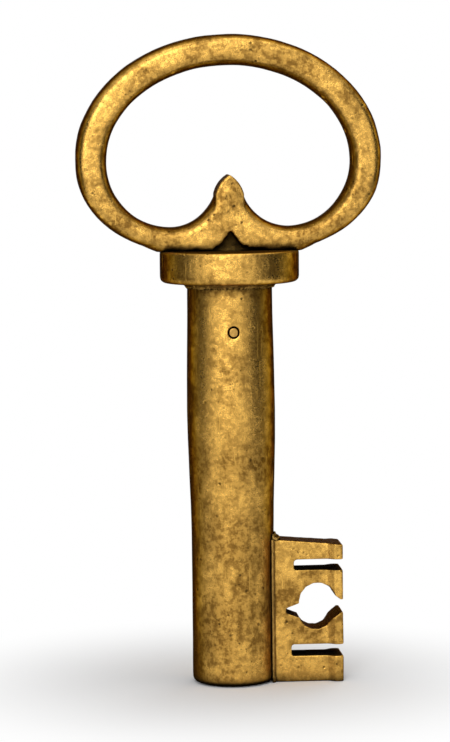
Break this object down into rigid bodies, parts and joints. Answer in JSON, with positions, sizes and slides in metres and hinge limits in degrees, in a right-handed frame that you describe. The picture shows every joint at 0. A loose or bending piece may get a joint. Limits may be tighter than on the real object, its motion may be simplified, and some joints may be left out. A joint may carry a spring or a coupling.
{
  "type": "ceremonial key",
  "caption": "Ceremonial pipe key with an oval looped bow, round collar, hollow shank and a warded bit.",
  "frame": {"origin": "centre of the pipe's open end, on its end face", "axes": "+Z along the shank towards the bow, +X towards the bit, -Y is the face in the picture"},
  "size_m": [0.0754, 0.0344, 0.16],
  "materials": {
    "gilt_brass": "worn gilding over cast brass",
    "brazing_metal": "dull brazed bead",
    "pin_brass": "filed flush"
  },
  "bodies": {
    "root": {"bow": "gilt_brass", "collar": "gilt_brass", "shank_pipe": "gilt_brass", "bit": "gilt_brass", "tang_pin": "pin_brass", "collar_braze": "brazing_metal", "bit_braze_front": "brazing_metal", "bit_braze_back": "brazing_metal", "bit_braze_top": "brazing_metal"}
  },
  "joints": []
}
